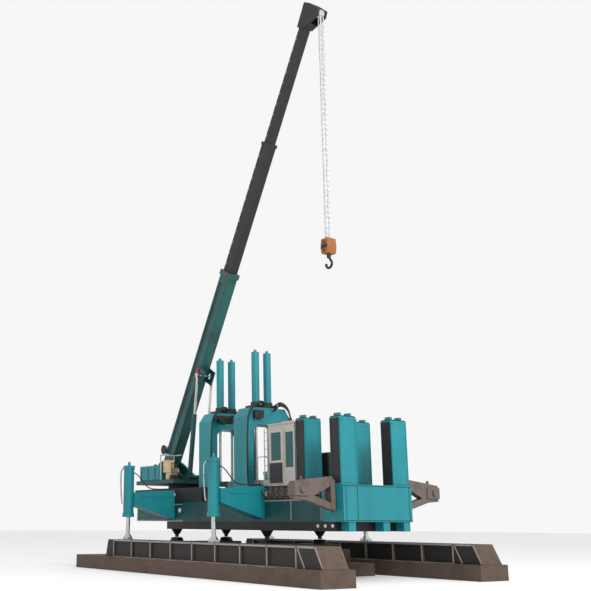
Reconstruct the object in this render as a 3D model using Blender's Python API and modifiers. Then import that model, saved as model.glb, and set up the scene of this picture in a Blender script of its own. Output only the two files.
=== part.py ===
"""Press-in pile driving rig: walking pontoons, hollow frame, press gantries and slewing telescopic crane.

Metres, +Z up.  +X is the ballast end, +Y the far side, the ground is z = 0.
The origin is on the ground under the middle of the pontoons.
"""
import math
import bpy
import bmesh
from mathutils import Matrix, Vector

for ob in list(bpy.data.objects):
    bpy.data.objects.remove(ob, do_unlink=True)

# ------------------------------------------------------------------ driving sizes
GAP = 0.0004            # between pieces that touch

BOAT_L, BOAT_W, BOAT_H = 14.86, 1.30, 0.49
BOAT_Y = 3.40           # centre line of each long pontoon
NEAR_DX, FAR_DX = 0.145, -0.145
RAIL_W, RAIL_TOP = 0.91, 1.11
RAIL_X0, RAIL_X1 = -5.13, 7.03      # rail top ends from the pontoon's middle
TRACK_W, SLOT_W = 0.66, 0.30        # inside of the rail, slot in its top

LEG_REAR_X, LEG_FRONT_X = -4.28, 1.52
BARREL_R, BARREL_BORE, JACK_ROD_R = 0.20, 0.105, 0.08
BARREL_Z0, BARREL_Z1 = 1.94, 3.86

SHORT_X, SHORT_Y, SHORT_H = 3.30, 4.40, 0.42
SHORT_RAIL_TOP = 0.86
STAND_Y = 1.184         # ball stands on each short pontoon

BODY_HW = 1.475         # half width of the body
FRAME_X0, FRAME_X1 = -4.57, 5.30
FRAME_Z0, FRAME_Z1 = 1.50, 1.79
WELL_X, WELL_Y = -1.40, 0.0         # pile well
WELL_LX, WELL_LY = 1.50, 1.70

GANTRY_DX = 1.17        # gantries each side of the pile well
COL_LX, COL_LY, COL_Y = 0.86, 0.28, 0.86
BEAM_Z0, BEAM_Z1 = 5.28, 5.90
CYL_R, CYL_BORE, CYL_Y, CYL_Z1 = 0.148, 0.085, 0.28, 8.05
PRESS_ROD_R = 0.05
CLAMP_Z0, CLAMP_Z1 = 1.86, 2.98
PRESS_STROKE = 1.75

SLEW_X = -5.40
BOOM_PIVOT = (-6.75, 4.00)          # x, z
BOOM_ANGLE = math.radians(59.6)
BOOM_BASE_L, BOOM_MID_END, BOOM_TIP_END = 8.95, 14.40, 19.33
LUFF_FOOT = (-4.65, 3.55)
LUFF_ALONG, LUFF_BELOW = 4.50, 0.44
LUFF_Y = 0.36
TIP_SHEAVE = 19.62      # from the boom pivot to the head sheaves

# ------------------------------------------------------------------ helpers
model = bpy.data.collections.new("pile_driver_rig")
cutters = bpy.data.collections.new("cutters")
bpy.context.scene.collection.children.link(model)
bpy.context.scene.collection.children.link(cutters)

PAINTS = {              # colour, metallic, roughness
    "teal": ((0.0, 0.26, 0.30, 1), 0.0, 0.40),
    "dark_teal": ((0.0, 0.045, 0.05, 1), 0.0, 0.45),
    "black": ((0.012, 0.012, 0.013, 1), 0.0, 0.55),
    "hull": ((0.07, 0.042, 0.03, 1), 0.2, 0.80),
    "chrome": ((0.75, 0.75, 0.76, 1), 1.0, 0.18),
    "grey_brown": ((0.16, 0.135, 0.115, 1), 0.1, 0.70),
    "offwhite": ((0.52, 0.47, 0.42, 1), 0.0, 0.50),
    "cream": ((0.72, 0.58, 0.38, 1), 0.0, 0.60),
    "orange": ((0.42, 0.14, 0.02, 1), 0.0, 0.55),
    "rope": ((0.48, 0.48, 0.50, 1), 0.8, 0.40),
}


def paint(node, key):
    colour, metal, rough = PAINTS[key]
    m = bpy.data.materials.new(node + "_paint")
    m.use_nodes = True
    b = m.node_tree.nodes["Principled BSDF"]
    b.inputs["Base Color"].default_value = colour
    b.inputs["Metallic"].default_value = metal
    b.inputs["Roughness"].default_value = rough
    return m


def mesh_object(name, bm, coll=None):
    me = bpy.data.meshes.new(name)
    bmesh.ops.recalc_face_normals(bm, faces=bm.faces)
    bm.to_mesh(me)
    bm.free()
    ob = bpy.data.objects.new(name, me)
    (coll or cutters).objects.link(ob)
    ob.hide_render = True
    ob.display_type = "WIRE"
    return ob


def box(x0, x1, y0, y1, z0, z1):
    bm = bmesh.new()
    bmesh.ops.create_cube(bm, size=1.0)
    size = Vector((x1 - x0, y1 - y0, z1 - z0))
    mid = Vector(((x0 + x1) / 2, (y0 + y1) / 2, (z0 + z1) / 2))
    bmesh.ops.transform(bm, matrix=Matrix.Translation(mid) @ Matrix.Diagonal((*size, 1)), verts=bm.verts)
    return mesh_object("piece", bm)


def rod(p, q, r, r2=None, seg=20):
    p, q = Vector(p), Vector(q)
    bm = bmesh.new()
    bmesh.ops.create_cone(bm, cap_ends=True, segments=seg, radius1=r, radius2=r if r2 is None else r2,
                          depth=(q - p).length)
    turn = Vector((0, 0, 1)).rotation_difference(q - p).to_matrix().to_4x4()
    bmesh.ops.transform(bm, matrix=Matrix.Translation((p + q) / 2) @ turn, verts=bm.verts)
    return mesh_object("piece", bm)


def outline(points, plane, at, thick, holes=()):
    """A flat outline, extruded both ways.  plane 'xz' stands along Y, 'yz' along X, 'xy' along Z."""
    cu = bpy.data.curves.new("outline", "CURVE")
    cu.dimensions = "2D"
    cu.fill_mode = "BOTH"
    cu.extrude = thick / 2
    for loop in (points, *holes):
        sp = cu.splines.new("POLY")
        sp.points.add(len(loop) - 1)
        for p, co in zip(sp.points, loop):
            p.co = (co[0], co[1], 0, 1)
        sp.use_cyclic_u = True
    ob = bpy.data.objects.new("outline", cu)
    cutters.objects.link(ob)
    if plane == "xz":
        ob.rotation_euler = (math.pi / 2, 0, 0)
        ob.location = (0, at, 0)
    elif plane == "yz":
        ob.rotation_euler = (math.pi / 2, 0, math.pi / 2)
        ob.location = (at, 0, 0)
    else:
        ob.location = (0, 0, at)
    bpy.context.view_layer.update()
    dep = bpy.context.evaluated_depsgraph_get()
    me = bpy.data.meshes.new_from_object(ob.evaluated_get(dep))
    me.transform(ob.matrix_world)
    bpy.data.objects.remove(ob, do_unlink=True)
    bm = bmesh.new()
    bm.from_mesh(me)
    bpy.data.meshes.remove(me)
    bmesh.ops.remove_doubles(bm, verts=bm.verts, dist=0.0001)
    return mesh_object("piece", bm)


def placed(ob, matrix):
    ob.data.transform(matrix)
    return ob


def node(name, key, base, add=(), cut=(), bevel=0.0):
    """One closed body: base, with pieces joined to it and cut from it."""
    me = base.data.copy()
    ob = bpy.data.objects.new(name, me)
    model.objects.link(ob)
    for kind, group in (("UNION", add), ("DIFFERENCE", cut)):
        for piece in group:
            md = ob.modifiers.new(kind.lower(), "BOOLEAN")
            md.operation = kind
            md.solver = "EXACT"
            md.object = piece
    bpy.context.view_layer.update()
    dep = bpy.context.evaluated_depsgraph_get()
    done = bpy.data.meshes.new_from_object(ob.evaluated_get(dep))
    ob.modifiers.clear()
    bm = bmesh.new()
    bm.from_mesh(done)
    bmesh.ops.remove_doubles(bm, verts=bm.verts, dist=0.0001)
    bmesh.ops.dissolve_limit(bm, angle_limit=math.radians(0.2), verts=bm.verts, edges=bm.edges)
    bm.to_mesh(done)
    bm.free()
    done.materials.clear()
    done.materials.append(paint(name, key))
    ob.data = done
    done.name = name
    for piece in (base, *add, *cut):
        if piece.name in bpy.data.objects:
            bpy.data.objects.remove(piece, do_unlink=True)
    if bevel:
        bv = ob.modifiers.new("bevel", "BEVEL")
        bv.width = bevel
        bv.segments = 1
        bv.limit_method = "ANGLE"
        bv.angle_limit = math.radians(50)
    return ob


BODIES = {}


def body(name, at, members, parent=None):
    """An empty on the body's joint axis, with its nodes parented to it."""
    em = bpy.data.objects.new(name + "_axis", None)
    model.objects.link(em)
    em.location = at
    bpy.context.view_layer.update()
    if parent:
        em.parent = BODIES[parent]
        em.matrix_parent_inverse = BODIES[parent].matrix_world.inverted()
    bpy.context.view_layer.update()
    for ob in members:
        ob.parent = em
        ob.matrix_parent_inverse = em.matrix_world.inverted()
    BODIES[name] = em


# ------------------------------------------------------------------ chassis
root = []

stands = []
for x in (LEG_REAR_X, LEG_FRONT_X):
    for y in (-STAND_Y, STAND_Y):
        stands += [rod((x, y, FRAME_Z0 + 0.02), (x, y, 1.30), 0.24, 0.10, 16),
                   rod((x, y, 1.33), (x, y, 1.20), 0.075, 0.075, 16)]
main_frame = node("main_frame", "black",
                  outline([(FRAME_X0, -BODY_HW), (FRAME_X1, -BODY_HW), (FRAME_X1, BODY_HW), (FRAME_X0, BODY_HW)],
                          "xy", (FRAME_Z0 + FRAME_Z1) / 2, FRAME_Z1 - FRAME_Z0,
                          holes=[[(WELL_X - WELL_LX / 2, -WELL_LY / 2), (WELL_X + WELL_LX / 2, -WELL_LY / 2),
                                  (WELL_X + WELL_LX / 2, WELL_LY / 2), (WELL_X - WELL_LX / 2, WELL_LY / 2)]]),
                  add=stands)
root.append(main_frame)

# middle of the body: side walls and cross walls round the pile well
mid_x0, mid_x1 = -3.40, 1.60 - GAP
root.append(node("well_frame", "dark_teal",
                 outline([(mid_x0, -BODY_HW), (mid_x1, -BODY_HW), (mid_x1, BODY_HW), (mid_x0, BODY_HW)],
                         "xy", (FRAME_Z1 + GAP + 2.50) / 2, 2.50 - FRAME_Z1 - GAP,
                         holes=[[(WELL_X - WELL_LX / 2, -WELL_LY / 2), (WELL_X + WELL_LX / 2, -WELL_LY / 2),
                                 (WELL_X + WELL_LX / 2, WELL_LY / 2), (WELL_X - WELL_LX / 2, WELL_LY / 2)]])))

# rear body under the crane: side outline with a raked end
root.append(node("rear_body", "dark_teal",
                 outline([(-6.95, 1.80), (mid_x0 - GAP, 1.80), (mid_x0 - GAP, 2.46), (-6.95, 2.46)],
                         "xz", 0, 2 * BODY_HW)))
root.append(node("rear_deck", "black",
                 outline([(-6.35, 2.46 + GAP), (-2.10 - GAP, 2.50 + GAP), (-2.10 - GAP, 3.05), (-7.19, 3.05), (-7.05, 2.80)],
                         "xz", 0, 2 * BODY_HW),
                 cut=[box(-3.45, 0, -3, 3, 2.0, 2.50 + GAP), box(WELL_X - WELL_LX / 2 - 0.2, 0, -WELL_LY / 2, WELL_LY / 2, 2, 4)]))
for ob in root[-1:]:
    pass

root.append(node("front_body", "dark_teal", box(1.60, 4.76 - GAP, -BODY_HW, BODY_HW, FRAME_Z1 + GAP, 2.50)))
forks = [box(5.35, 5.72, y - 0.14, y + 0.14, 1.50, 1.80) for y in (-1.1, 0.35, 1.25)]
root.append(node("ballast_box", "teal", box(4.76, 5.76, -BODY_HW, BODY_HW, FRAME_Z1 + GAP, 2.92), add=forks))
root.append(node("front_deck", "black", box(1.60, 4.76 - GAP, -BODY_HW, BODY_HW, 2.50 + GAP, 2.96)))

# counterweight posts: x0, x1, top, bottom
for tag, x0, x1, z0, z1 in (("front", 5.22, 5.68, 2.92 + GAP, 5.02), ("rear", 3.53, 3.99, 2.96 + GAP, 5.10)):
    for side, s in (("near", -1), ("far", 1)):
        ya, yb = sorted((s * 0.76, s * 1.47))
        ears = []
        for dy in (0.14, 0.57):
            y = s * (0.76 + dy)
            ears.append(box((x0 + x1) / 2 - 0.12, (x0 + x1) / 2 + 0.12, y - 0.05, y + 0.05, z1 - 0.05, z1 + 0.13))
        root.append(node(f"ballast_post_{side}_{tag}", "teal", box(x0, x1, ya, yb, z0, z1), add=ears))

# press gantries, each two columns, a crossbeam and two upright press cylinders
for tag, gx in (("rear", WELL_X - GANTRY_DX), ("front", WELL_X + GANTRY_DX)):
    foot = 3.05 if tag == "rear" else 2.50
    yo, yi = COL_Y + COL_LY / 2, COL_Y - COL_LY / 2
    arch = [(-yo, foot + GAP), (-yi, foot + GAP), (-yi, BEAM_Z0 - 0.22), (-yi + 0.22, BEAM_Z0),
            (yi - 0.22, BEAM_Z0), (yi, BEAM_Z0 - 0.22), (yi, foot + GAP), (yo, foot + GAP),
            (yo, BEAM_Z1 - 0.35), (yo - 0.25, BEAM_Z1), (-yo + 0.25, BEAM_Z1), (-yo, BEAM_Z1 - 0.35)]
    cyls, bores = [], []
    for y in (-CYL_Y, CYL_Y):
        cyls += [rod((gx, y, BEAM_Z1 - 0.05), (gx, y, CYL_Z1), CYL_R, seg=24),
                 rod((gx, y, CYL_Z1 - 0.01), (gx, y, CYL_Z1 + 0.10), 0.07, 0.05, seg=12)]
        bores.append(rod((gx, y, BEAM_Z0 - 0.2), (gx, y, CYL_Z1 - 0.08), CYL_BORE, seg=20))
    root.append(node(f"press_gantry_{tag}", "teal", outline(arch, "yz", gx, COL_LX), add=cyls, cut=bores))

# jack arms with their barrels
for side, s in (("near", -1), ("far", 1)):
    for tag, x in (("rear", LEG_REAR_X), ("front", LEG_FRONT_X)):
        y = s * BOAT_Y
        yb = s * (BODY_HW + GAP)
        arm = outline([(yb, 1.86), (s * 3.30, 2.40), (s * 3.30, 2.86), (yb, 2.98)] if s > 0 else
                      [(yb, 2.98), (s * 3.30, 2.86), (s * 3.30, 2.40), (yb, 1.86)], "yz", x, 0.56)
        root.append(node(f"jack_{side}_{tag}", "teal", arm,
                         add=[rod((x, y, BARREL_Z0), (x, y, BARREL_Z1), BARREL_R, seg=24),
                              rod((x, y, BARREL_Z1 - 0.01), (x, y, BARREL_Z1 + 0.16), 0.07, 0.04, seg=12)],
                         cut=[rod((x, y, BARREL_Z0 - 0.2), (x, y, BARREL_Z1 - 0.10), BARREL_BORE, seg=20)]))

# side brackets: a triangular frame with a head block
for side, s in (("near", -1), ("far", 1)):
    y0 = s * (BODY_HW + GAP)
    tri = [(y0, 2.22), (s * 2.55, 2.40), (s * 3.05, 2.50), (s * 3.05, 2.95), (s * 2.55, 3.10), (y0, 3.06)]
    tri = [(y0, 2.10), (s * 2.60, 2.42), (s * 3.10, 2.46), (s * 3.10, 2.98), (s * 2.50, 3.06), (s * 1.62, 3.16), (y0, 3.02)]
    hole = [(s * 1.68, 2.36), (s * 2.35, 2.56), (s * 1.68, 2.86)]
    if s < 0:
        tri, hole = tri[::-1], hole[::-1]
    root.append(node(f"side_bracket_{side}", "grey_brown", outline(tri, "yz", 5.28, 0.26, holes=[hole])))

# operator's cab: hollow, windows cut, doorway for the hinged door
CX0, CX1, CY0, CY1, CZ0, CZ1 = 2.08, 3.46, -1.47, -0.36, 2.96 + GAP, 5.00
T = 0.05
DOOR = (2.16, 2.86, 3.06, 4.84)         # x0, x1, z0, z1
root.append(node("cab_shell", "offwhite", box(CX0, CX1, CY0, CY1, CZ0, CZ1), cut=[
    box(CX0 + T, CX1 - T, CY0 + T, CY1 - T, CZ0 + T, CZ1 - 0.14),
    box(DOOR[0], DOOR[1], CY0 - 0.1, CY0 + T + 0.01, DOOR[2], DOOR[3]),
    box(2.96, 3.38, CY0 - 0.1, CY0 + T + 0.01, 3.55, 4.72),
    box(CX0 + 0.14, CX1 - 0.14, CY1 - T - 0.01, CY1 + 0.1, 3.80, 4.72),
    box(CX0 - 0.1, CX0 + T + 0.01, CY0 + 0.14, CY1 - 0.14, 3.55, 4.72),
    box(CX1 - T - 0.01, CX1 + 0.1, CY0 + 0.14, CY1 - 0.14, 3.80, 4.72)]))
door = node("cab_door", "offwhite", box(DOOR[0] - 0.02, DOOR[1] + 0.02, CY0 - 0.046, CY0 - 0.006, DOOR[2] - 0.02, DOOR[3] + 0.02),
            cut=[box(DOOR[0] + 0.08, DOOR[1] - 0.08, CY0 - 0.2, CY0 + 0.2, 3.80, 4.74)])
root.append(node("cab_seat", "black", box(2.52, 2.98, -1.12, -0.68, 3.30, 3.44),
                 add=[box(2.62, 2.88, -1.02, -0.78, CZ0 + T + GAP, 3.32), box(2.88, 3.00, -1.12, -0.68, 3.40, 3.98)]))
root.append(node("power_pack", "black", box(1.64, 3.40, 0.05, 1.40, 2.96 + GAP, 4.10), bevel=0.04))

# ------------------------------------------------------------------ long pontoons, jack feet
def long_boat(name, side, dx):
    y = side * BOAT_Y
    x0, x1 = dx + RAIL_X0, dx + RAIL_X1
    rail = outline([(x0 - 0.18, BOAT_H - 0.10), (x1 + 0.33, BOAT_H - 0.10), (x1 + 0.33, BOAT_H + 0.02), (x1, RAIL_TOP),
                    (x0, RAIL_TOP), (x0 - 0.18, BOAT_H + 0.02)], "xz", y, RAIL_W)
    cut = [box(x0 + 0.06, x1 - 0.06, y - TRACK_W / 2, y + TRACK_W / 2, BOAT_H + 0.06, RAIL_TOP - 0.09),
           box(x0 + 0.06, x1 - 0.06, y - SLOT_W / 2, y + SLOT_W / 2, RAIL_TOP - 0.2, RAIL_TOP + 0.1)]
    n = 8
    pitch = (x1 - 0.85 - x0 - 0.45) / n
    for i in range(n):
        a = x0 + 0.45 + i * pitch
        for sy in (-1, 1):
            ya, yb = sorted((y + sy * (RAIL_W / 2 - 0.07), y + sy * (RAIL_W / 2 + 0.1)))
            cut.append(box(a + 0.05, a + pitch - 0.05, ya, yb, BOAT_H + 0.03, RAIL_TOP - 0.05))
    return node(name, "hull", box(dx - BOAT_L / 2, dx + BOAT_L / 2, y - BOAT_W / 2, y + BOAT_W / 2, 0, BOAT_H),
                add=[rail], cut=cut)


for side, s, dx in (("near", -1, NEAR_DX), ("far", 1, FAR_DX)):
    y = s * BOAT_Y
    feet = []
    for tag, x in (("rear", LEG_REAR_X), ("front", LEG_FRONT_X)):
        feet.append(node(f"jack_foot_{side}_{tag}", "chrome",
                         rod((x, y, 1.25), (x, y, 3.30), JACK_ROD_R, seg=20),
                         add=[rod((x, y, 1.15), (x, y, 1.30), 0.20, 0.10, seg=16),
                              box(x - 0.20, x + 0.20, y - 0.10, y + 0.10, 0.90, 1.20),
                              box(x - 0.50, x + 0.50, y - 0.29, y + 0.29, BOAT_H + 0.068, RAIL_TOP - 0.12)]))
    body(f"{side}_jacks", (LEG_REAR_X, y, BARREL_Z0), feet)
    body(f"{side}_long_boat", (dx, y, BOAT_H), [long_boat(f"long_boat_{side}", s, dx)], f"{side}_jacks")

# ------------------------------------------------------------------ short pontoons
for tag, x in (("rear", LEG_REAR_X), ("front", LEG_FRONT_X)):
    pads = [rod((x, y, 1.02), (x, y, 1.10), 0.26, 0.26, seg=20) for y in (-STAND_Y, STAND_Y)]
    pads += [rod((x, y, 1.09), (x, y, 1.19), 0.26, 0.20, seg=20) for y in (-STAND_Y, STAND_Y)]
    carriage = node(f"turning_carriage_{tag}", "black", box(x - 0.55, x + 0.55, -1.55, 1.55, SHORT_RAIL_TOP + 0.006, 1.04),
                    add=pads + [box(x - 0.30, x + 0.30, -1.50, 1.50, SHORT_H + 0.05, 0.92)])
    hull = node(f"short_boat_{tag}", "hull", box(x - SHORT_X / 2, x + SHORT_X / 2, -SHORT_Y / 2, SHORT_Y / 2, 0, SHORT_H),
                add=[box(x + a - 0.10, x + a + 0.10, -SHORT_Y / 2 + 0.1, SHORT_Y / 2 - 0.1, SHORT_H - 0.05, SHORT_RAIL_TOP)
                     for a in (-0.45, 0.45)])
    body(f"{tag}_carriage", (x, 0, 1.10), [carriage])
    body(f"{tag}_short_boat", (x, 0, SHORT_H), [hull], f"{tag}_carriage")

# ------------------------------------------------------------------ clamp box and its rods
clamp = node("clamp_box", "teal", box(WELL_X - 0.68, WELL_X + 0.68, -0.62, 0.62, CLAMP_Z0, CLAMP_Z1),
             cut=[box(WELL_X - 0.28, WELL_X + 0.28, -0.28, 0.28, CLAMP_Z0 - 0.2, CLAMP_Z1 + 0.2)])
rods = []
for tag, gx, s in (("rear", WELL_X - GANTRY_DX, 1), ("front", WELL_X + GANTRY_DX, -1)):
    ends = sorted((gx - s * 0.12, WELL_X - s * 0.50))
    yoke = box(ends[0], ends[1], -0.42, 0.42, CLAMP_Z1 + 0.12, CLAMP_Z1 + 0.30)
    legs = sorted((WELL_X - s * 0.64, WELL_X - s * 0.50))
    rods.append(node(f"press_rods_{tag}", "chrome", yoke,
                     add=[rod((gx, y, CLAMP_Z1 + 0.2), (gx, y, 6.05), PRESS_ROD_R, seg=16) for y in (-CYL_Y, CYL_Y)]
                     + [box(legs[0], legs[1], -0.42, 0.42, CLAMP_Z1 + GAP, CLAMP_Z1 + 0.2)]))
body("clamp", (WELL_X, 0, CLAMP_Z0), [clamp] + rods)

# ------------------------------------------------------------------ crane
ca, sa = math.cos(BOOM_ANGLE), math.sin(BOOM_ANGLE)
BOOM = Matrix(((ca, 0, -sa, BOOM_PIVOT[0]), (0, 1, 0, 0), (sa, 0, ca, BOOM_PIVOT[1]), (0, 0, 0, 1)))


def boom_box(a0, a1, w, d0, d1):
    """A length of boom: from a0 to a1 along it, w wide, d0 to d1 above its axis."""
    return placed(box(a0, a1, -w / 2, w / 2, d0, d1), BOOM)


slew_ring = node("slew_ring", "black", rod((SLEW_X, 0, 3.05 + GAP), (SLEW_X, 0, 3.26), 0.78, seg=36))
root.append(slew_ring)
px, pz = BOOM_PIVOT
cheeks = []
for s in (-1, 1):
    pts = [(px - 0.42, 3.35), (px + 1.95, 3.35), (px + 0.45, pz + 0.20), (px + 0.10, pz + 0.32), (px - 0.30, pz + 0.22)]
    cheeks.append(outline(pts, "xz", s * 0.345, 0.09))
lugs = [box(LUFF_FOOT[0] - 0.14, LUFF_FOOT[0] + 0.14, min(s * 0.50, s * 0.56), max(s * 0.50, s * 0.56), 3.40, LUFF_FOOT[1] + 0.13)
        for s in (-1, 1)]
turret = node("crane_turret", "dark_teal", box(px - 0.42, -4.22, -1.42, 0.95, 3.26 + GAP, 3.42), add=cheeks + lugs +
              [rod((px, -0.38, pz), (px, 0.38, pz), 0.075, seg=20)])
house = node("crane_house", "teal", box(-6.90, -5.36, -1.42, -0.62, 3.42 + GAP, 4.02), bevel=0.03)
seat = node("crane_seat", "cream", box(-5.16, -4.70, -1.26, -0.84, 3.72, 3.84),
            add=[box(-5.26, -5.14, -1.26, -0.84, 3.72, 4.22), box(-5.12, -4.74, -1.22, -0.88, 3.42 + GAP, 3.74)])
frame_pts = [(-5.32, 3.42 + GAP), (-5.28, 3.42 + GAP), (-5.28, 4.40), (-4.72, 4.40), (-4.72, 4.44), (-5.32, 4.44)]
guard = node("crane_seat_frame", "offwhite", outline(frame_pts, "xz", -1.36, 0.04),
             add=[outline(frame_pts, "xz", -0.72, 0.04), box(-5.32, -5.28, -1.36, -0.72, 4.40, 4.44)])
body("crane", (SLEW_X, 0, 3.26), [turret, house, seat, guard])

B_W, B_D = 0.45, 0.31           # base section: width, half depth
hang = BOOM @ Vector((TIP_SHEAVE, 0, -0.62))
ears = [boom_box(LUFF_ALONG - 0.30, LUFF_ALONG + 0.30, 0.53, -0.74, -0.12)]
ear_gap = [boom_box(LUFF_ALONG - 0.4, LUFF_ALONG + 0.4, 0.43, -0.9, -B_D + 0.02)]
pin_at = BOOM @ Vector((LUFF_ALONG, 0, -LUFF_BELOW))
ear_plates = node("ear_tmp", "dark_teal", ears[0], cut=[ear_gap[0], rod((pin_at.x, -1, pin_at.z), (pin_at.x, 1, pin_at.z), 0.12, seg=24)])
model.objects.unlink(ear_plates)
cutters.objects.link(ear_plates)
boom_base = node("boom_base", "dark_teal", boom_box(-0.30, BOOM_BASE_L, B_W, -B_D, B_D),
                 add=[boom_box(BOOM_BASE_L - 0.22, BOOM_BASE_L, 0.52, -0.36, 0.36), ear_plates,
                      placed(rod((0.62, -0.24, 0.50), (0.62, 0.24, 0.50), 0.15, seg=20), BOOM),
                      boom_box(0.50, 0.74, 0.40, 0.25, 0.50)],
                 cut=[boom_box(3.0, BOOM_BASE_L + 0.2, 0.405, -0.27, 0.27),
                      rod((px, -1, pz), (px, 1, pz), 0.085, seg=20),
                      boom_box(-0.5, 0.20, 0.6, -0.6, -0.24), boom_box(-0.5, 0.20, 0.6, 0.24, 0.6)])
body("boom", (px, 0, pz), [boom_base], "crane")

boom_mid = node("boom_mid", "black", boom_box(BOOM_BASE_L - 2.7, BOOM_MID_END, 0.375, -0.245, 0.245),
                add=[boom_box(BOOM_MID_END - 0.14, BOOM_MID_END, 0.42, -0.27, 0.27)],
                cut=[boom_box(BOOM_BASE_L - 2.6, BOOM_MID_END + 0.2, 0.335, -0.21, 0.21)])
body("boom_mid_section", BOOM @ Vector((BOOM_BASE_L, 0, 0)), [boom_mid], "boom")

HEAD0, HEAD1 = BOOM_TIP_END - 0.35, BOOM_TIP_END + 0.62
head = outline([(HEAD0, -0.20), (TIP_SHEAVE - 0.10, -0.84), (TIP_SHEAVE + 0.16, -0.80), (HEAD1, -0.10), (HEAD1, 0.26), (HEAD0, 0.22)],
               "xz", 0, 0.46)
placed(head, BOOM)
head_gap = [boom_box(TIP_SHEAVE - 0.42, TIP_SHEAVE + 0.6, 0.30, -1.2, -0.28)]
boom_tip = node("boom_tip", "black", boom_box(BOOM_MID_END - 2.7, BOOM_TIP_END, 0.305, -0.18, 0.18), add=[head], cut=head_gap)
body("boom_tip_section", BOOM @ Vector((BOOM_MID_END, 0, 0)), [boom_tip], "boom_mid_section")

# hoist rope falls hang plumb from the head sheave
ROPE_X, ROPE_Z0 = hang.x + 0.10, 11.62
falls = [rod((ROPE_X + dx, dy, ROPE_Z0), (ROPE_X + dx, dy, hang.z), 0.016, seg=8) for dx, dy in ((-0.06, -0.07), (0.05, -0.07), (-0.06, 0.07), (0.05, 0.07))]
ropes = node("hoist_ropes", "rope", rod((hang.x, -0.13, hang.z), (hang.x, 0.13, hang.z), 0.17, seg=24),
             add=falls + [box(ROPE_X - 0.08, ROPE_X + 0.08, -0.10, 0.10, ROPE_Z0 - 0.04, ROPE_Z0 + 0.04)])
block = node("hook_block", "orange", outline([(ROPE_X - 0.16, 11.02), (ROPE_X + 0.16, 11.02), (ROPE_X + 0.21, 11.25), (ROPE_X + 0.17, ROPE_Z0 - 0.04 - GAP),
                                              (ROPE_X - 0.17, ROPE_Z0 - 0.04 - GAP), (ROPE_X - 0.21, 11.25)], "xz", 0, 0.42), bevel=0.02)
body("hoist", hang, [ropes, block], "boom_tip_section")

cu = bpy.data.curves.new("hook_curve", "CURVE")
cu.dimensions = "3D"
cu.bevel_depth = 0.045
cu.bevel_resolution = 2
cu.use_fill_caps = True
sp = cu.splines.new("POLY")
HOOK_R, HOOK_Z = 0.15, 10.66
pts = [(0, 11.02 - 0.006), (0, 10.93), (0.05, 10.84)]
pts += [(HOOK_R * math.sin(math.radians(t)), HOOK_Z + HOOK_R * math.cos(math.radians(t))) for t in range(40, 281, 20)]
sp.points.add(len(pts) - 1)
for p, (a, z) in zip(sp.points, pts):
    p.co = (ROPE_X + a, 0, z, 1)
hk = bpy.data.objects.new("hook_curve", cu)
cutters.objects.link(hk)
bpy.context.view_layer.update()
hm = bpy.data.meshes.new_from_object(hk.evaluated_get(bpy.context.evaluated_depsgraph_get()))
bpy.data.objects.remove(hk, do_unlink=True)
bm = bmesh.new()
bm.from_mesh(hm)
bmesh.ops.remove_doubles(bm, verts=bm.verts, dist=0.0001)
hook = node("hook", "black", mesh_object("piece", bm))
body("hook", (ROPE_X, 0, 11.02), [hook], "hoist")

# luffing cylinders: barrels on the turret, rods to the boom's ears
foot = Vector((LUFF_FOOT[0], 0, LUFF_FOOT[1]))
eye = Vector((pin_at.x, 0, pin_at.z))
along = (eye - foot).normalized()


def at_luff(t, y):
    return foot + along * t + Vector((0, y, 0))


barrels = [rod(at_luff(0.0, y), at_luff(2.55, y), 0.10, seg=20) for y in (-LUFF_Y, LUFF_Y)]
bores = [rod(at_luff(0.35, y), at_luff(2.8, y), 0.062, seg=16) for y in (-LUFF_Y, LUFF_Y)]
luff_barrels = node("luff_barrels", "dark_teal", rod((foot.x, -0.49, foot.z), (foot.x, 0.49, foot.z), 0.085, seg=20), add=barrels, cut=bores)
body("luff_barrels", foot, [luff_barrels], "crane")
lr = (eye - foot).length
rods_l = [rod(at_luff(lr - 2.75, y), at_luff(lr, y), 0.052, seg=16) for y in (-LUFF_Y, LUFF_Y)]
rods_l += [rod((eye.x, y - 0.06, eye.z), (eye.x, y + 0.06, eye.z), 0.10, seg=16) for y in (-LUFF_Y, LUFF_Y)]
luff_rods = node("luff_rods", "chrome", rod((eye.x, -0.43, eye.z), (eye.x, 0.43, eye.z), 0.035, seg=12), add=rods_l)
body("luff_rods", eye, [luff_rods], "luff_barrels")
body("cab_door", (DOOR[1] + 0.02, CY0 - 0.046, DOOR[2]), [door])

for ob in list(cutters.objects):
    if ob.name.startswith(("piece", "ear_tmp")):
        bpy.data.objects.remove(ob, do_unlink=True)
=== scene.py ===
import math, random
import bpy, bmesh
from mathutils import Vector, Matrix


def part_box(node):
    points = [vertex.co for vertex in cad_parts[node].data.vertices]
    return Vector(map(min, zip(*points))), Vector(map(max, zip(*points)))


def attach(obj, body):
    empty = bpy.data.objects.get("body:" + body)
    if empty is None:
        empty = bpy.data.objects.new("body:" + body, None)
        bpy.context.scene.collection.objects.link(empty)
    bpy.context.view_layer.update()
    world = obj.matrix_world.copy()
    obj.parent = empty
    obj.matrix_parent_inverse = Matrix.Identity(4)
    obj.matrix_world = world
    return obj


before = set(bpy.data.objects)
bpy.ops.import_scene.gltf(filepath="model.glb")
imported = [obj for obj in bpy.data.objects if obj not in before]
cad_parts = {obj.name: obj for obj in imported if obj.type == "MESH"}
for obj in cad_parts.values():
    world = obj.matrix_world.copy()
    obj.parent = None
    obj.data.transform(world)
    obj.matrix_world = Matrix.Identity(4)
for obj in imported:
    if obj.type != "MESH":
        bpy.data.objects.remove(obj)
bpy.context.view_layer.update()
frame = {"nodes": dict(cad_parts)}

random.seed(7)

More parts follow.
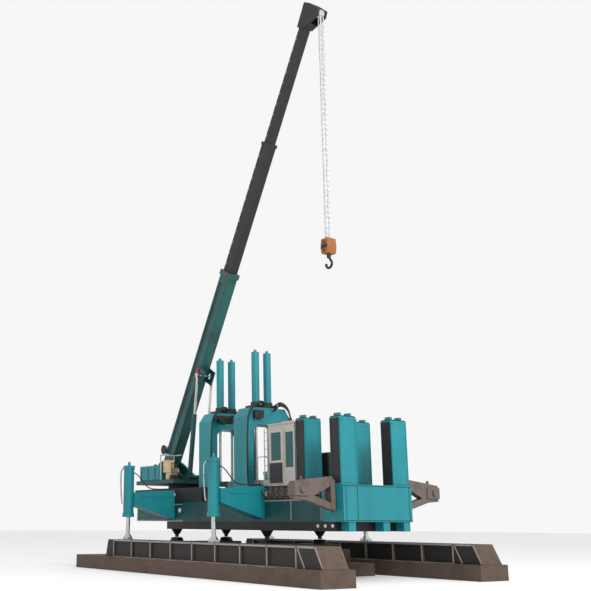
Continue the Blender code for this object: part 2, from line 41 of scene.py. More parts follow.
# ---------------------------------------------------------------- materials
def material(name, colour, rough=0.5, metal=0.0, dirt=(0.10, 0.07, 0.05), dirt_amount=0.35, scale=1.2, bump=0.15, second=None, streak=False):
    """Paint or steel: colour varied by soft noise, dirt in noise patches, and fine bump."""
    m = bpy.data.materials.new(name)
    m.use_nodes = True
    nt = m.node_tree
    b = nt.nodes["Principled BSDF"]
    b.inputs["Metallic"].default_value = metal
    tc = nt.nodes.new("ShaderNodeTexCoord")
    mp = nt.nodes.new("ShaderNodeMapping")
    if streak:
        mp.inputs["Scale"].default_value = (1.0, 1.0, 0.25)
    nt.links.new(tc.outputs["Object"], mp.inputs["Vector"])
    big = nt.nodes.new("ShaderNodeTexNoise")
    big.inputs["Scale"].default_value = scale
    big.inputs["Detail"].default_value = 8
    big.inputs["Roughness"].default_value = 0.65
    nt.links.new(mp.outputs["Vector"], big.inputs["Vector"])
    fine = nt.nodes.new("ShaderNodeTexNoise")
    fine.inputs["Scale"].default_value = scale * 18
    fine.inputs["Detail"].default_value = 6
    nt.links.new(mp.outputs["Vector"], fine.inputs["Vector"])
    base = nt.nodes.new("ShaderNodeMix")
    base.data_type = "RGBA"
    sec = second or tuple(c * 0.72 for c in colour)
    base.inputs[6].default_value = (*sec, 1)
    base.inputs[7].default_value = (*colour, 1)
    r0 = nt.nodes.new("ShaderNodeValToRGB")
    r0.color_ramp.elements[0].position = 0.35
    r0.color_ramp.elements[1].position = 0.62
    nt.links.new(big.outputs["Fac"], r0.inputs["Fac"])
    nt.links.new(r0.outputs["Color"], base.inputs[0])
    mask = nt.nodes.new("ShaderNodeMath")
    mask.operation = "MULTIPLY"
    nt.links.new(big.outputs["Fac"], mask.inputs[0])
    nt.links.new(fine.outputs["Fac"], mask.inputs[1])
    r1 = nt.nodes.new("ShaderNodeValToRGB")
    r1.color_ramp.elements[0].position = 0.40 - 0.22 * dirt_amount
    r1.color_ramp.elements[1].position = 0.52 - 0.16 * dirt_amount
    nt.links.new(mask.outputs["Value"], r1.inputs["Fac"])
    worn = nt.nodes.new("ShaderNodeMix")
    worn.data_type = "RGBA"
    worn.inputs[7].default_value = (*dirt, 1)
    nt.links.new(r1.outputs["Color"], worn.inputs[0])
    nt.links.new(base.outputs[2], worn.inputs[6])
    nt.links.new(worn.outputs[2], b.inputs["Base Color"])
    rr = nt.nodes.new("ShaderNodeMapRange")
    rr.inputs["To Min"].default_value = max(0.05, rough - 0.12)
    rr.inputs["To Max"].default_value = min(1.0, rough + 0.22)
    nt.links.new(fine.outputs["Fac"], rr.inputs["Value"])
    nt.links.new(rr.outputs["Result"], b.inputs["Roughness"])
    bp = nt.nodes.new("ShaderNodeBump")
    bp.inputs["Strength"].default_value = bump
    bp.inputs["Distance"].default_value = 0.01
    nt.links.new(fine.outputs["Fac"], bp.inputs["Height"])
    nt.links.new(bp.outputs["Normal"], b.inputs["Normal"])
    return m

RUST = (0.10, 0.045, 0.022)
MATS = {
    "teal": material("teal_enamel", (0.0, 0.225, 0.260), 0.42, dirt=(0.0, 0.10, 0.11), dirt_amount=0.25, scale=0.9, second=(0.0, 0.165, 0.195), streak=True),
    "dark_teal": material("dark_teal_enamel", (0.0, 0.075, 0.078), 0.42, dirt=(0.008, 0.012, 0.012), dirt_amount=0.5, scale=1.3, second=(0.0, 0.035, 0.04), streak=True),
    "boom_teal": material("boom_teal_enamel", (0.0, 0.090, 0.080), 0.35, dirt=(0.004, 0.02, 0.022), dirt_amount=0.4, scale=1.0, second=(0.0, 0.045, 0.045)),
    "black": material("greasy_black", (0.010, 0.010, 0.011), 0.50, dirt=(0.035, 0.022, 0.016), dirt_amount=0.30, scale=1.5, second=(0.005, 0.005, 0.006)),
    "hull": material("rusty_plate", (0.105, 0.070, 0.050), 0.80, dirt=(0.050, 0.028, 0.018), dirt_amount=0.6, scale=1.6, second=(0.065, 0.042, 0.032), bump=0.4),
    "chrome": material("oily_chrome", (0.62, 0.62, 0.63), 0.20, 1.0, dirt=(0.12, 0.10, 0.09), dirt_amount=0.2, scale=3, bump=0.05),
    "grey_brown": material("dusty_bracket", (0.15, 0.12, 0.10), 0.75, dirt=(0.05, 0.035, 0.03), dirt_amount=0.6, scale=2.2, second=(0.09, 0.07, 0.06), bump=0.3),
    "offwhite": material("dusty_offwhite", (0.50, 0.45, 0.40), 0.5, dirt=(0.22, 0.19, 0.17), dirt_amount=0.45, scale=1.8, second=(0.40, 0.38, 0.35)),
    "cream": material("seat_vinyl", (0.74, 0.55, 0.34), 0.55, dirt=(0.3, 0.2, 0.12), dirt_amount=0.3, scale=4),
    "orange": material("hook_orange", (0.42, 0.15, 0.025), 0.5, dirt=(0.03, 0.018, 0.012), dirt_amount=0.75, scale=3.5, second=(0.20, 0.06, 0.015)),
    "rope": material("wire_rope", (0.60, 0.60, 0.63), 0.35, 0.7, dirt=(0.25, 0.25, 0.27), dirt_amount=0.3, scale=6),
    "rubber": material("hose_rubber", (0.012, 0.012, 0.013), 0.6, dirt=(0.05, 0.04, 0.035), dirt_amount=0.3, scale=6),
    "rail": material("rail_grey", (0.014, 0.011, 0.010), 0.65, dirt=(0.05, 0.04, 0.034), dirt_amount=0.40, scale=2.0, second=(0.018, 0.015, 0.014), bump=0.3),
    "edge": material("polished_edge", (0.33, 0.30, 0.28), 0.55, dirt=(0.12, 0.09, 0.07), dirt_amount=0.5, scale=3),
    "lamp_and_painted_highlight": material("lamp_lens_and_painted_highlight", (0.85, 0.80, 0.80), 0.25, dirt=(0.5, 0.45, 0.45), dirt_amount=0.2, scale=5),
    "red": material("red_mark", (0.35, 0.02, 0.03), 0.5, dirt=(0.1, 0.01, 0.01), dirt_amount=0.3, scale=5),
}
glass = bpy.data.materials.new("cab_glass")
glass.use_nodes = True
gb = glass.node_tree.nodes["Principled BSDF"]
gb.inputs["Base Color"].default_value = (0.01, 0.12, 0.115, 1)
gb.inputs["Roughness"].default_value = 0.05
gb.inputs["Alpha"].default_value = 0.62
MATS["glass"] = glass

CAD_LOOK = {"boom_base": "boom_teal", "well_frame": "dark_teal", "rear_body": "dark_teal", "front_body": "dark_teal", "cab_seat": "rubber",
            "crane_turret": "dark_teal", "luff_barrels": "dark_teal", "power_pack": "black", "crane_seat": "cream", "crane_seat_frame": "offwhite",
            "cab_shell": "offwhite", "cab_door": "offwhite", "hoist_ropes": "rope", "hook_block": "orange", "hook": "black",
            "luff_rods": "chrome", "boom_mid": "black", "boom_tip": "black", "slew_ring": "black", "main_frame": "black",
            "rear_deck": "black", "front_deck": "black"}


def look(node):
    if node in CAD_LOOK:
        return CAD_LOOK[node]
    if node.startswith(("long_boat", "short_boat")):
        return "hull"
    if node.startswith("turning"):
        return "black"
    if node.startswith(("jack_foot", "press_rods")):
        return "chrome"
    if node.startswith("side_bracket"):
        return "grey_brown"
    return "teal"


for name in frame["nodes"]:
    ob = bpy.data.objects.get(name)
    if ob is None and isinstance(frame["nodes"], dict):
        ob = frame["nodes"][name] if hasattr(frame["nodes"][name], "data") else None
    if ob is None:
        continue
    mat = MATS[look(name)]
    if ob.material_slots:
        for sl in ob.material_slots:
            sl.material = mat
    else:
        ob.data.materials.append(mat)

# ---------------------------------------------------------------- piece makers
def finish_piece(name, bm, mat, body, smooth=False, bevel=0.0):
    me = bpy.data.meshes.new(name)
    bmesh.ops.recalc_face_normals(bm, faces=bm.faces)
    bm.to_mesh(me)
    bm.free()
    ob = bpy.data.objects.new(name, me)
    bpy.context.scene.collection.objects.link(ob)
    me.materials.append(MATS[mat])
    if smooth:
        me.shade_smooth()
        me.set_sharp_from_angle(angle=math.radians(40))
    if bevel:
        md = ob.modifiers.new("bevel", "BEVEL")
        md.width = bevel
        md.segments = 2
        md.limit_method = "ANGLE"
    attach(ob, body)
    return ob


def add_box(bm, x0, x1, y0, y1, z0, z1, turn=None):
    r = bmesh.ops.create_cube(bm, size=1.0)
    m = Matrix.Translation(((x0 + x1) / 2, (y0 + y1) / 2, (z0 + z1) / 2)) @ Matrix.Diagonal((x1 - x0, y1 - y0, z1 - z0, 1))
    if turn is not None:
        m = turn @ m
    bmesh.ops.transform(bm, matrix=m, verts=r["verts"])


def add_rod(bm, p, q, r, seg=10, r2=None):
    p, q = Vector(p), Vector(q)
    if (q - p).length < 1e-6:
        return
    g = bmesh.ops.create_cone(bm, cap_ends=True, segments=seg, radius1=r, radius2=r if r2 is None else r2, depth=(q - p).length)
    t = Vector((0, 0, 1)).rotation_difference(q - p).to_matrix().to_4x4()
    bmesh.ops.transform(bm, matrix=Matrix.Translation((p + q) / 2) @ t, verts=g["verts"])


def tube(name, pts, r, mat, body):
    """A hose: a smooth curve turned into one tube mesh."""
    cu = bpy.data.curves.new(name, "CURVE")
    cu.dimensions = "3D"
    cu.bevel_depth = r
    cu.bevel_resolution = 2
    cu.use_fill_caps = True
    cu.resolution_u = 8
    sp = cu.splines.new("NURBS")
    sp.points.add(len(pts) - 1)
    for p, co in zip(sp.points, pts):
        p.co = (*co, 1)
    sp.use_endpoint_u = True
    sp.order_u = 4
    ob = bpy.data.objects.new(name + "_c", cu)
    bpy.context.scene.collection.objects.link(ob)
    me = bpy.data.meshes.new_from_object(ob.evaluated_get(bpy.context.evaluated_depsgraph_get()))
    bpy.data.objects.remove(ob, do_unlink=True)
    bm = bmesh.new()
    bm.from_mesh(me)
    bmesh.ops.remove_doubles(bm, verts=bm.verts, dist=0.0001)
    return finish_piece(name, bm, mat, body, smooth=True)


# ---------------------------------------------------------------- long pontoon rails, edges, ribs
for side, s, dx in (("near", -1, 0.145), ("far", 1, -0.145)):
    lo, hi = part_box(f"long_boat_{side}")
    yc = s * 3.40
    body = f"{side}_long_boat"
    x0, x1 = dx - 5.13, dx + 7.03
    bm = bmesh.new()
    # dark cladding of the rail webs, a few millimetres proud, and light flange edges and ribs
    for sy in (-1, 1):
        yf = yc + sy * 0.455
        ya, yb = sorted((yf + sy * 0.002, yf + sy * 0.012))
        add_box(bm, x0 + 0.45, x1 - 0.06, ya, yb, 1.055, 1.108)
        add_box(bm, x0 + 0.45, x1 - 0.9, ya, yb, 0.494, 0.512)
        pitch = (x1 - 0.85 - x0 - 0.45) / 8
        for i in range(9):
            a = x0 + 0.45 + i * pitch
            add_box(bm, a - 0.022, a + 0.022, ya, yb + (0.02 if sy > 0 else 0), 0.495, 1.10)
        # raked ribs at the front end of the rail
        for a, b in ((x1 - 0.80, x1 - 0.47), (x1 - 0.02, x1 + 0.30)):
            ang = math.atan2(b - a, 0.60)
            m = Matrix.Translation(((a + b) / 2, (ya + yb) / 2, 0.80)) @ Matrix.Rotation(-ang, 4, "Y")
            r = bmesh.ops.create_cube(bm, size=1.0)
            bmesh.ops.transform(bm, matrix=m @ Matrix.Diagonal((0.045, abs(yb - ya), 0.66, 1)), verts=r["verts"])
    finish_piece(f"rail_edges_{side}", bm, "edge", body)
    bm = bmesh.new()
    n = 8
    pitch = (x1 - 0.85 - x0 - 0.45) / n
    for i in range(n):
        a = x0 + 0.45 + i * pitch
        for sy in (-1, 1):
            yf = yc + sy * (0.455 - 0.068)
            ya, yb = sorted((yf, yf + sy * 0.008))
            add_box(bm, a + 0.055, a + pitch - 0.055, ya, yb, 0.53, 1.05)
    for sy in (-1, 1):
        yf = yc + sy * 0.455
        ya, yb = sorted((yf + sy * 0.001, yf + sy * 0.006))
        vs = [bm.verts.new((x, y, z)) for y in (ya, yb) for x, z in ((x1 - 0.80, 0.50), (x1 + 0.30, 0.50), (x1 - 0.02, 1.09), (x1 - 0.80, 1.09))]
        bm.faces.new(vs[:4])
        bm.faces.new(vs[4:])
        for q in range(4):
            bm.faces.new((vs[q], vs[(q + 1) % 4], vs[4 + (q + 1) % 4], vs[4 + q]))
        add_box(bm, x0 + 0.02, x0 + 0.43, ya, yb, 0.50, 1.10)
    finish_piece(f"rail_webs_{side}", bm, "rail", body)
    bm = bmesh.new()
    # weld-bead loop (its test sy * s > 5 never holds, so it adds nothing) and bright scuffed deck patches
    for k in range(12):
        a = dx - 7.0 + k * 1.24
        for sy in (-1, 1):
            ya, yb = sorted((yc + sy * 0.650, yc + sy * 0.6535))
            add_box(bm, a - 0.012, a + 0.012, ya - 0.0, yb - 0.0, 0.02, 0.47) if sy * s > 5 else None
    for k in range(7):
        a = dx - 3.6 + k * 1.35
        add_box(bm, a, a + 0.85, yc - 0.64, yc - 0.50, 0.4905, 0.4935)
    finish_piece(f"deck_scuffs_{side}", bm, "edge", body)

# ---------------------------------------------------------------- posts: seams, bolts; ballast box panel lines
bm = bmesh.new()
for side, s in (("near", -1), ("far", 1)):
    for tag, xf, z0, z1 in (("front", 5.68, 2.95, 5.0), ("rear", 3.99, 3.0, 5.08)):
        ya, yb = sorted((s * 0.76, s * 1.47))
        for z in (z0 + 0.05, z1 - 0.07):
            add_box(bm, xf + 0.001, xf + 0.010, ya + 0.02, yb - 0.02, z - 0.02, z + 0.02)
        for y in (ya + 0.02, yb - 0.045):
            add_box(bm, xf + 0.001, xf + 0.010, y, y + 0.025, z0 + 0.05, z1 - 0.07)
        for k in range(6):
            z = z0 + 0.2 + k * (z1 - z0 - 0.4) / 5
            for y in (ya + 0.09, yb - 0.09):
                add_rod(bm, (xf, y, z), (xf + 0.014, y, z), 0.018, 6)
finish_piece("post_trim", bm, "teal", "chassis")
bm = bmesh.new()
for y in (-1.36, -0.88, 1.36):
    add_box(bm, 5.7605, 5.767, y - 0.01, y + 0.01, 1.84, 2.88)
for z in (1.83, 2.88):
    add_box(bm, 5.7605, 5.767, -1.46, 1.46, z - 0.012, z + 0.012)
finish_piece("ballast_seams", bm, "dark_teal", "chassis")
bm = bmesh.new()
for side, s in (("near", -1), ("far", 1)):
    for xf, z1 in ((5.45, 5.02), (3.76, 5.10)):
        ya, yb = sorted((s * 0.77, s * 1.46))
        add_box(bm, xf - 0.20, xf + 0.20, ya, yb, z1 + 0.001, z1 + 0.035)
finish_piece("post_caps", bm, "black", "chassis", bevel=0.008)
# Painted shade: thin black plates on the posts' −Y faces, the sides turned away from the key light, each with a black
# edge strip and five cross bars laid on it.
bm = bmesh.new()
for xa, xb, z0, z1 in ((5.24, 5.66, 2.96, 4.98), (3.55, 3.97, 3.0, 5.06)):
    for y in (-1.4765, 0.7535):
        add_box(bm, xa, xb, y, y + 0.006, z0, z1)
        add_box(bm, xa + 0.02, xa + 0.05, y - 0.008, y, z0, z1)
        for k in range(5):
            z = z0 + 0.2 + k * (z1 - z0 - 0.4) / 4
            add_box(bm, xa + 0.05, xb, y - 0.008, y, z - 0.015, z + 0.015)
finish_piece("post_side_painted_shade", bm, "black", "chassis")

# ---------------------------------------------------------------- body sides: ribs, lips, lamps, one painted highlight
bm = bmesh.new()
for s in (-1, 1):
    ya, yb = sorted((s * 1.4755, s * 1.492))
    add_box(bm, -6.93, -3.45, ya, yb, 2.415, 2.45)
    add_box(bm, -6.93, -3.45, ya, yb, 1.81, 1.845)
    add_box(bm, 1.61, 4.75, ya, yb, 2.45, 2.495)
    for x in (-6.90, -4.6, 1.62, 3.2, 4.70):
        add_box(bm, x, x + 0.04, ya, yb, 1.83, 2.44)
finish_piece("side_lips", bm, "edge", "chassis")
bm = bmesh.new()
# The pale disc at (1.9, -1.50, 2.70) is a painted highlight; the other pale discs are work lamps.
for (x, y, z) in ((-4.05, -1.50, 2.80), (-3.62, -1.50, 2.20), (1.9, -1.50, 2.70), (0.30, -1.50, 2.36), (4.55, -1.50, 1.66), (4.9, -1.50, 1.66), (5.24, -1.50, 1.66),
                  (-4.05, 1.50, 2.80), (1.9, 1.50, 2.70)):
    add_rod(bm, (x, y + 0.03 * (1 if y < 0 else -1), z), (x, y, z), 0.085 if z > 2 else 0.05, 16)
finish_piece("work_lamps_and_painted_highlight", bm, "lamp_and_painted_highlight", "chassis", smooth=True)

# ---------------------------------------------------------------- cab glazing, lower door panel, roof pan, ladder rails
bm = bmesh.new()
add_box(bm, 2.965, 3.375, -1.452, -1.444, 3.555, 4.715)
add_box(bm, 2.225, 3.315, -0.386, -0.380, 3.805, 4.715)
add_box(bm, 2.098, 2.106, -1.325, -0.505, 3.555, 4.715)
add_box(bm, 3.432, 3.440, -1.325, -0.505, 3.805, 4.715)
finish_piece("cab_windows", bm, "glass", "chassis")
bm = bmesh.new()
add_box(bm, 2.245, 2.775, -1.500, -1.492, 3.805, 4.735)
finish_piece("door_glass", bm, "glass", "cab_door")
bm = bmesh.new()
add_box(bm, 2.16, 2.86, -1.520, -1.5165, 3.05, 3.72)
finish_piece("door_lower_panel", bm, "black", "cab_door")
bm = bmesh.new()
add_box(bm, 2.02, 3.52, -1.50, -0.32, 5.003, 5.05)
add_box(bm, 2.4, 3.1, -1.2, -0.7, 5.05, 5.13)
finish_piece("cab_roof_pan", bm, "offwhite", "chassis", bevel=0.015)
bm = bmesh.new()
for pts in (((1.78, -1.44, 2.97), (1.78, -1.44, 4.95)), ((1.98, -1.44, 2.97), (1.98, -1.44, 4.95))):
    add_rod(bm, *pts, 0.018, 8)
for k in range(7):
    add_rod(bm, (1.78, -1.44, 3.1 + k * 0.28), (1.98, -1.44, 3.1 + k * 0.28), 0.014, 8)
add_rod(bm, (1.2, -1.30, 3.98), (1.98, -1.44, 3.98), 0.016, 8)
add_rod(bm, (1.2, -1.30, 2.52), (1.2, -1.30, 3.98), 0.016, 8)
finish_piece("cab_ladder", bm, "offwhite", "chassis", smooth=True)

# ---------------------------------------------------------------- gantry hoses, valve blocks, clutter on the deck
k = 0
for gx in (-2.57, -0.23):
    for y in (-0.28, 0.28):
        for j in range(3):
            dy = 0.05 * (j - 1)
            sgn = -1 if y < 0 else 1
            tube(f"press_hose_{k}", [(gx + 0.40, y + dy, 5.93), (gx + 0.52, y + dy, 6.10 + 0.03 * j), (gx + 0.60, sgn * 0.62, 6.02 + 0.06 * j), (gx + 0.50, sgn * (0.95 + 0.02 * j), 5.80),
                                     (gx + 0.46, sgn * 1.03, 5.2), (gx + 0.46, sgn * (1.035 + dy / 2), 3.9), (gx + 0.47, sgn * 1.03, 3.12)], 0.022, "rubber", "chassis")
            k += 1
bm = bmesh.new()
for gx in (-2.57, -0.23):
    add_box(bm, gx - 0.34, gx + 0.34, -0.52, 0.52, 5.905, 6.02)
    for y in (-0.28, 0.28):
        add_rod(bm, (gx, y, 6.02), (gx, y, 6.14), 0.19, 20)
        for t in range(8):
            a = t * math.pi / 4
            add_rod(bm, (gx + 0.168 * math.cos(a), y + 0.168 * math.sin(a), 6.14), (gx + 0.168 * math.cos(a), y + 0.168 * math.sin(a), 6.165), 0.014, 6)
    add_box(bm, gx + 0.44, gx + 0.60, -0.75, -0.35, 5.50, 5.78)
finish_piece("press_flanges", bm, "black", "chassis", bevel=0.006)
# the black bundle of hoses between the gantries
for j in range(10):
    y0 = -0.95 + 0.03 * j
    x0 = -2.05 + 0.01 * j
    sag = 5.45 - 0.05 * (j % 5)
    tube(f"loop_hose_{j}", [(x0, y0, 5.72), (-1.75, y0, sag + 0.35), (-1.4 + 0.03 * j, y0 - 0.02, sag), (-1.0, y0, sag + 0.25), (-0.72, y0, 5.62)], 0.024, "rubber", "chassis")
for j in range(3):
    tube(f"cab_hose_{j}", [(0.24, 0.15 + 0.06 * j, 5.80), (0.7, 0.05, 5.95 + 0.05 * j), (1.4, -0.2, 5.86), (2.0, -0.45, 5.5), (2.25, -0.5 - 0.04 * j, 5.06)], 0.018, "rubber", "chassis")

bm = bmesh.new()
for i in range(46):
    x = random.uniform(1.75, 4.60)
    y = random.uniform(-1.42, -1.22)
    l = random.uniform(0.2, 0.8)
    z = random.uniform(2.98, 3.14)
    if 2.0 < x < 3.6 or 2.0 < x + l < 3.6:
        z = 2.985
        continue
    add_rod(bm, (x, y, z), (min(x + l, 4.68), y, z), random.uniform(0.018, 0.034), 8)
finish_piece("deck_pipes", bm, "grey_brown", "chassis", smooth=True)
bm = bmesh.new()
for i in range(30):
    x = 1.66 + 0.10 * i
    add_rod(bm, (x, -1.48, random.uniform(2.56, 2.70)), (x, -1.48, random.uniform(2.78, 2.93)), random.uniform(0.02, 0.035), 8)
for i in range(5):
    z = 2.56 + 0.075 * i
    add_rod(bm, (1.64, -1.485, z), (4.70, -1.485, z + random.uniform(-0.02, 0.02)), 0.022, 8)
for i in range(9):
    x = 1.7 + 0.33 * i
    add_box(bm, x, x + 0.16, -1.53, -1.478, 2.58, 2.58 + random.uniform(0.12, 0.30))
finish_piece("valve_bank", bm, "grey_brown", "chassis", bevel=0.004)
for j in range(9):
    x = 1.75 + 0.30 * j
    tube(f"valve_hose_{j}", [(x, -1.50, 2.88), (x + 0.02, -1.60, 2.92), (x + 0.10, -1.64, 2.70), (x + 0.22, -1.60, 2.55), (x + 0.25, -1.50, 2.56)], 0.02, "rubber", "chassis")

# well clutter, side hoses and arms' gussets
bm = bmesh.new()
for side, s in (("near", -1), ("far", 1)):
    for x in (-4.28, 1.52):
        ya, yb = sorted((s * 1.50, s * 3.2))
        for dxx in (-0.283, 0.283):
            a, b = sorted((x + dxx, x + dxx * 1.045))
            add_box(bm, a, b, ya + 0.25, yb, 2.70, 2.76)
        add_rod(bm, (x, s * 3.4, 1.945), (x, s * 3.4, 2.08), 0.225, 24)
        add_rod(bm, (x, s * 3.4, 3.74), (x, s * 3.4, 3.865), 0.222, 24)
finish_piece("jack_collars", bm, "teal", "chassis", smooth=True)
for side, s in (("near", -1), ("far", 1)):
    for x, t in ((-4.28, "rear"), (1.52, "front")):
        tube(f"jack_pipe_{side}_{t}", [(x - 0.10, s * 3.61, 3.76), (x - 0.20, s * 3.66, 3.72), (x - 0.24, s * 3.64, 3.4), (x - 0.24, s * 3.60, 2.6), (x - 0.16, s * 3.60, 2.45)], 0.03, "chrome", "chassis")
        tube(f"jack_hose_{side}_{t}", [(x + 0.2, s * 3.30, 3.6), (x + 0.36, s * 3.2, 3.55), (x + 0.38, s * 2.9, 3.1), (x + 0.25, s * 2.5, 2.97), (x + 0.12, s * 1.9, 3.02), (x + 0.1, s * 1.5, 3.03)], 0.02, "rubber", "chassis")

# side brackets: head pins and plates
bm = bmesh.new()
for s in (-1, 1):
    ya, yb = sorted((s * 2.55, s * 3.13))
    add_box(bm, 5.10, 5.46, ya, yb, 2.55, 2.92)
    add_rod(bm, (5.02, s * 2.85, 2.74), (5.54, s * 2.85, 2.74), 0.09, 14)
    add_rod(bm, (5.28, s * 2.75, 2.98), (5.28, s * 2.75, 3.14), 0.05, 10)
    ya, yb = sorted((s * 1.50, s * 1.68))
    add_box(bm, 5.12, 5.44, ya, yb, 2.15, 3.05)
finish_piece("bracket_heads", bm, "grey_brown", "chassis", bevel=0.012)

# ---------------------------------------------------------------- crane dressings
th = math.radians(59.6)
BOOM = Matrix(((math.cos(th), 0, -math.sin(th), -6.75), (0, 1, 0, 0), (math.sin(th), 0, math.cos(th), 4.0), (0, 0, 0, 1)))
bm = bmesh.new()
for a in (1.6, 3.4, 5.4, 7.2, 8.72):
    for s in (-1, 1):
        ya, yb = sorted((s * 0.2255, s * 0.240))
        add_box(bm, a, a + 0.07, ya, yb, -0.29, 0.29, BOOM)
for s in (-1, 1):
    ya, yb = sorted((s * 0.2255, s * 0.236))
    add_box(bm, 0.3, 8.6, ya, yb, 0.255, 0.300, BOOM)
    add_box(bm, 0.3, 8.6, ya, yb, -0.300, -0.255, BOOM)
finish_piece("boom_base_ribs", bm, "boom_teal", "boom")
for body, a0, a1, w, d in (("boom_mid_section", 9.2, 14.2, 0.1885, 0.235), ("boom_tip_section", 14.6, 18.9, 0.1535, 0.17)):
    bm = bmesh.new()
    n = int((a1 - a0) / 0.42)
    for i in range(n):
        a = a0 + i * (a1 - a0) / n
        for s in (-1, 1):
            ya, yb = sorted((s * w, s * (w + 0.006)))
            add_box(bm, a, a + 0.10, ya, yb, d - 0.07, d - 0.03, BOOM)
    finish_piece(f"{body}_marks", bm, "edge", body)
bm = bmesh.new()
add_box(bm, 8.75, 8.85, -0.275, -0.262, -0.20, -0.05, BOOM)
add_box(bm, 4.25, 4.75, -0.30, -0.27, -0.30, -0.14, BOOM)
finish_piece("boom_tags", bm, "red", "boom")
tube("boom_hose", [tuple(BOOM @ Vector(p)) for p in ((0.6, -0.262, 0.1), (2.0, -0.262, 0.14), (4.0, -0.262, 0.10), (6.0, -0.262, 0.15), (8.4, -0.262, 0.12))], 0.018, "rubber", "boom")
bm = bmesh.new()
for y in (-0.26, 0.26):
    p = BOOM @ Vector((0.62, y, 0.50))
    q = BOOM @ Vector((0.62, y * 1.1, 0.50))
    add_rod(bm, p, q, 0.20, 24)
finish_piece("winch_flanges", bm, "black", "boom", smooth=True)
bm = bmesh.new()
for i in range(18):
    y = -0.225 + i * 0.0265
    p = BOOM @ Vector((0.62, y, 0.50))
    q = BOOM @ Vector((0.62, y + 0.024, 0.50))
    add_rod(bm, p, q, 0.162, 22)
finish_piece("winch_rope", bm, "rope", "boom", smooth=True)

# operator's seat of the crane, tank fittings
bm = bmesh.new()
add_box(bm, -5.15, -4.71, -1.25, -0.85, 3.842, 3.90)
add_box(bm, -5.138, -5.08, -1.25, -0.85, 3.90, 4.21)
pads = finish_piece("crane_seat_pads", bm, "cream", "crane", bevel=0.028)
bm = bmesh.new()
for i in range(5):
    add_rod(bm, (-4.62, -1.24 + 0.07 * i, 3.43), (-4.66, -1.24 + 0.07 * i, 4.05), 0.012, 8)
    add_rod(bm, (-4.66, -1.24 + 0.07 * i, 4.05), (-4.66, -1.24 + 0.07 * i, 4.09), 0.022, 8)
add_box(bm, -4.70, -4.56, -1.30, -0.92, 3.43, 3.60)
finish_piece("crane_levers", bm, "black", "crane")
bm = bmesh.new()
add_rod(bm, (-6.3, -1.0, 4.03), (-6.3, -1.0, 4.10), 0.08, 16)
add_rod(bm, (-5.8, -1.1, 4.03), (-5.8, -1.1, 4.07), 0.06, 16)
for x in (-6.75, -6.2, -5.65):
    add_box(bm, x, x + 0.03, -1.431, -1.421, 3.48, 3.97)
finish_piece("tank_fittings", bm, "black", "crane")
for j in range(5):
    tube(f"crane_hose_{j}", [(-5.36 + 0.02 * j, -0.75 - 0.05 * j, 3.7), (-5.2, -0.66 - 0.03 * j, 3.78), (-5.0, -0.60, 3.6 + 0.03 * j), (-4.85, -0.56, 3.5), (-4.72, -0.52, 3.60)], 0.018, "rubber", "crane")

# ---------------------------------------------------------------- hoist: laid rope falls, block, hook
lo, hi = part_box("hook_block")
rx = (lo[0] + hi[0]) / 2
zt, zb = 20.52, hi[2] + 0.02
k = 0
for dx, dy in ((-0.06, -0.07), (0.05, -0.07), (-0.06, 0.07), (0.05, 0.07)):
    bm = bmesh.new()
    steps = 150
    for strand in range(3):
        ring_prev = None
        for i in range(steps + 1):
            z = zb + (zt - zb) * i / steps
            a = i * 0.62 + strand * 2.0944
            c = Vector((rx + dx + 0.013 * math.cos(a), dy + 0.013 * math.sin(a), z))
            ring = [bm.verts.new((c.x + 0.0125 * math.cos(t * math.pi / 2.5), c.y + 0.0125 * math.sin(t * math.pi / 2.5), z)) for t in range(5)]
            if ring_prev:
                for t in range(5):
                    bm.faces.new((ring_prev[t], ring_prev[(t + 1) % 5], ring[(t + 1) % 5], ring[t]))
            else:
                bm.faces.new(ring)
            ring_prev = ring
        bm.faces.new(ring_prev)
    finish_piece(f"rope_fall_{k}", bm, "rope", "hoist", smooth=True)
    k += 1
bm = bmesh.new()
for s in (-1, 1):
    ya, yb = sorted((s * 0.2115, s * 0.218))
    for z in (lo[2] + 0.12, lo[2] + 0.42):
        add_rod(bm, (rx, ya, z), (rx, yb, z), 0.05, 16)
    add_box(bm, rx - 0.15, rx + 0.15, ya, yb, lo[2] + 0.20, lo[2] + 0.34)
finish_piece("block_cheek_bolts", bm, "black", "hoist")
bm = bmesh.new()
add_rod(bm, (rx, 0, 10.88), (rx, 0, 10.99), 0.075, 18)
finish_piece("hook_nut", bm, "black", "hook", smooth=True)

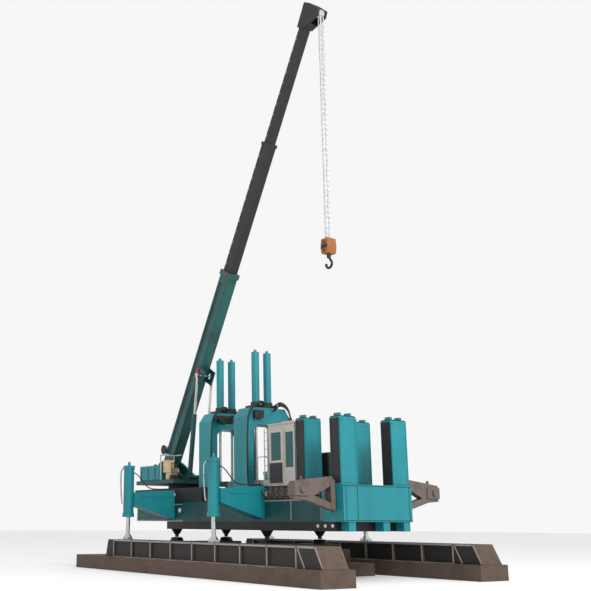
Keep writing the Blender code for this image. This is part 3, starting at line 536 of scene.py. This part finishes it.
# ---------------------------------------------------------------- camera, floor, light
scene = bpy.context.scene
cx, cy, f = 190.035, 286.428, 923.998
az, el, ro = math.radians(57.116), math.radians(14.359), math.radians(0.31)
fw = Vector((-math.sin(az) * math.cos(el), math.cos(az) * math.cos(el), math.sin(el)))
rt = Vector((math.cos(az), math.sin(az), 0))
up = rt.cross(fw)
rt2 = rt * math.cos(ro) + up * math.sin(ro)
up2 = up * math.cos(ro) - rt * math.sin(ro)
cam = bpy.data.cameras.new("camera")
cam.sensor_width = 36
cam.lens = f / 591 * 36
cam.shift_x = (295.5 - cx) / 591
cam.shift_y = -(295.5 - cy) / 591
cam.clip_end = 500
co = bpy.data.objects.new("camera", cam)
scene.collection.objects.link(co)
m = Matrix((( *rt2, 0), (*up2, 0), (*(-fw), 0), (0, 0, 0, 1))).transposed()
m.translation = Vector((26.055 + 1.575, -21.266, 1.73))
co.matrix_world = m
scene.camera = co

bm = bmesh.new()
bmesh.ops.create_grid(bm, x_segments=1, y_segments=1, size=160)
me = bpy.data.meshes.new("floor")
bm.to_mesh(me)
bm.free()
floor = bpy.data.objects.new("floor", me)
scene.collection.objects.link(floor)
floor.location.z = -0.002
fm = bpy.data.materials.new("floor")
fm.use_nodes = True
fm.node_tree.nodes["Principled BSDF"].inputs["Base Color"].default_value = (0.86, 0.86, 0.86, 1)
fm.node_tree.nodes["Principled BSDF"].inputs["Roughness"].default_value = 0.9
me.materials.append(fm)

w = bpy.data.worlds.new("world")
scene.world = w
w.use_nodes = True
w.node_tree.nodes["Background"].inputs["Color"].default_value = (1, 1, 1, 1)
w.node_tree.nodes["Background"].inputs["Strength"].default_value = 0.93


def area(name, at, to, size, energy):
    l = bpy.data.lights.new(name, "AREA")
    l.size = size
    l.energy = energy
    o = bpy.data.objects.new(name, l)
    o.location = at
    o.rotation_euler = (Vector(to) - Vector(at)).to_track_quat("-Z", "Y").to_euler()
    scene.collection.objects.link(o)


area("key", (34, -2, 24), (0, 0, 4), 12, 9000)
area("fill", (6, -34, 14), (0, 0, 5), 16, 500)
scene.view_settings.view_transform = "Standard"
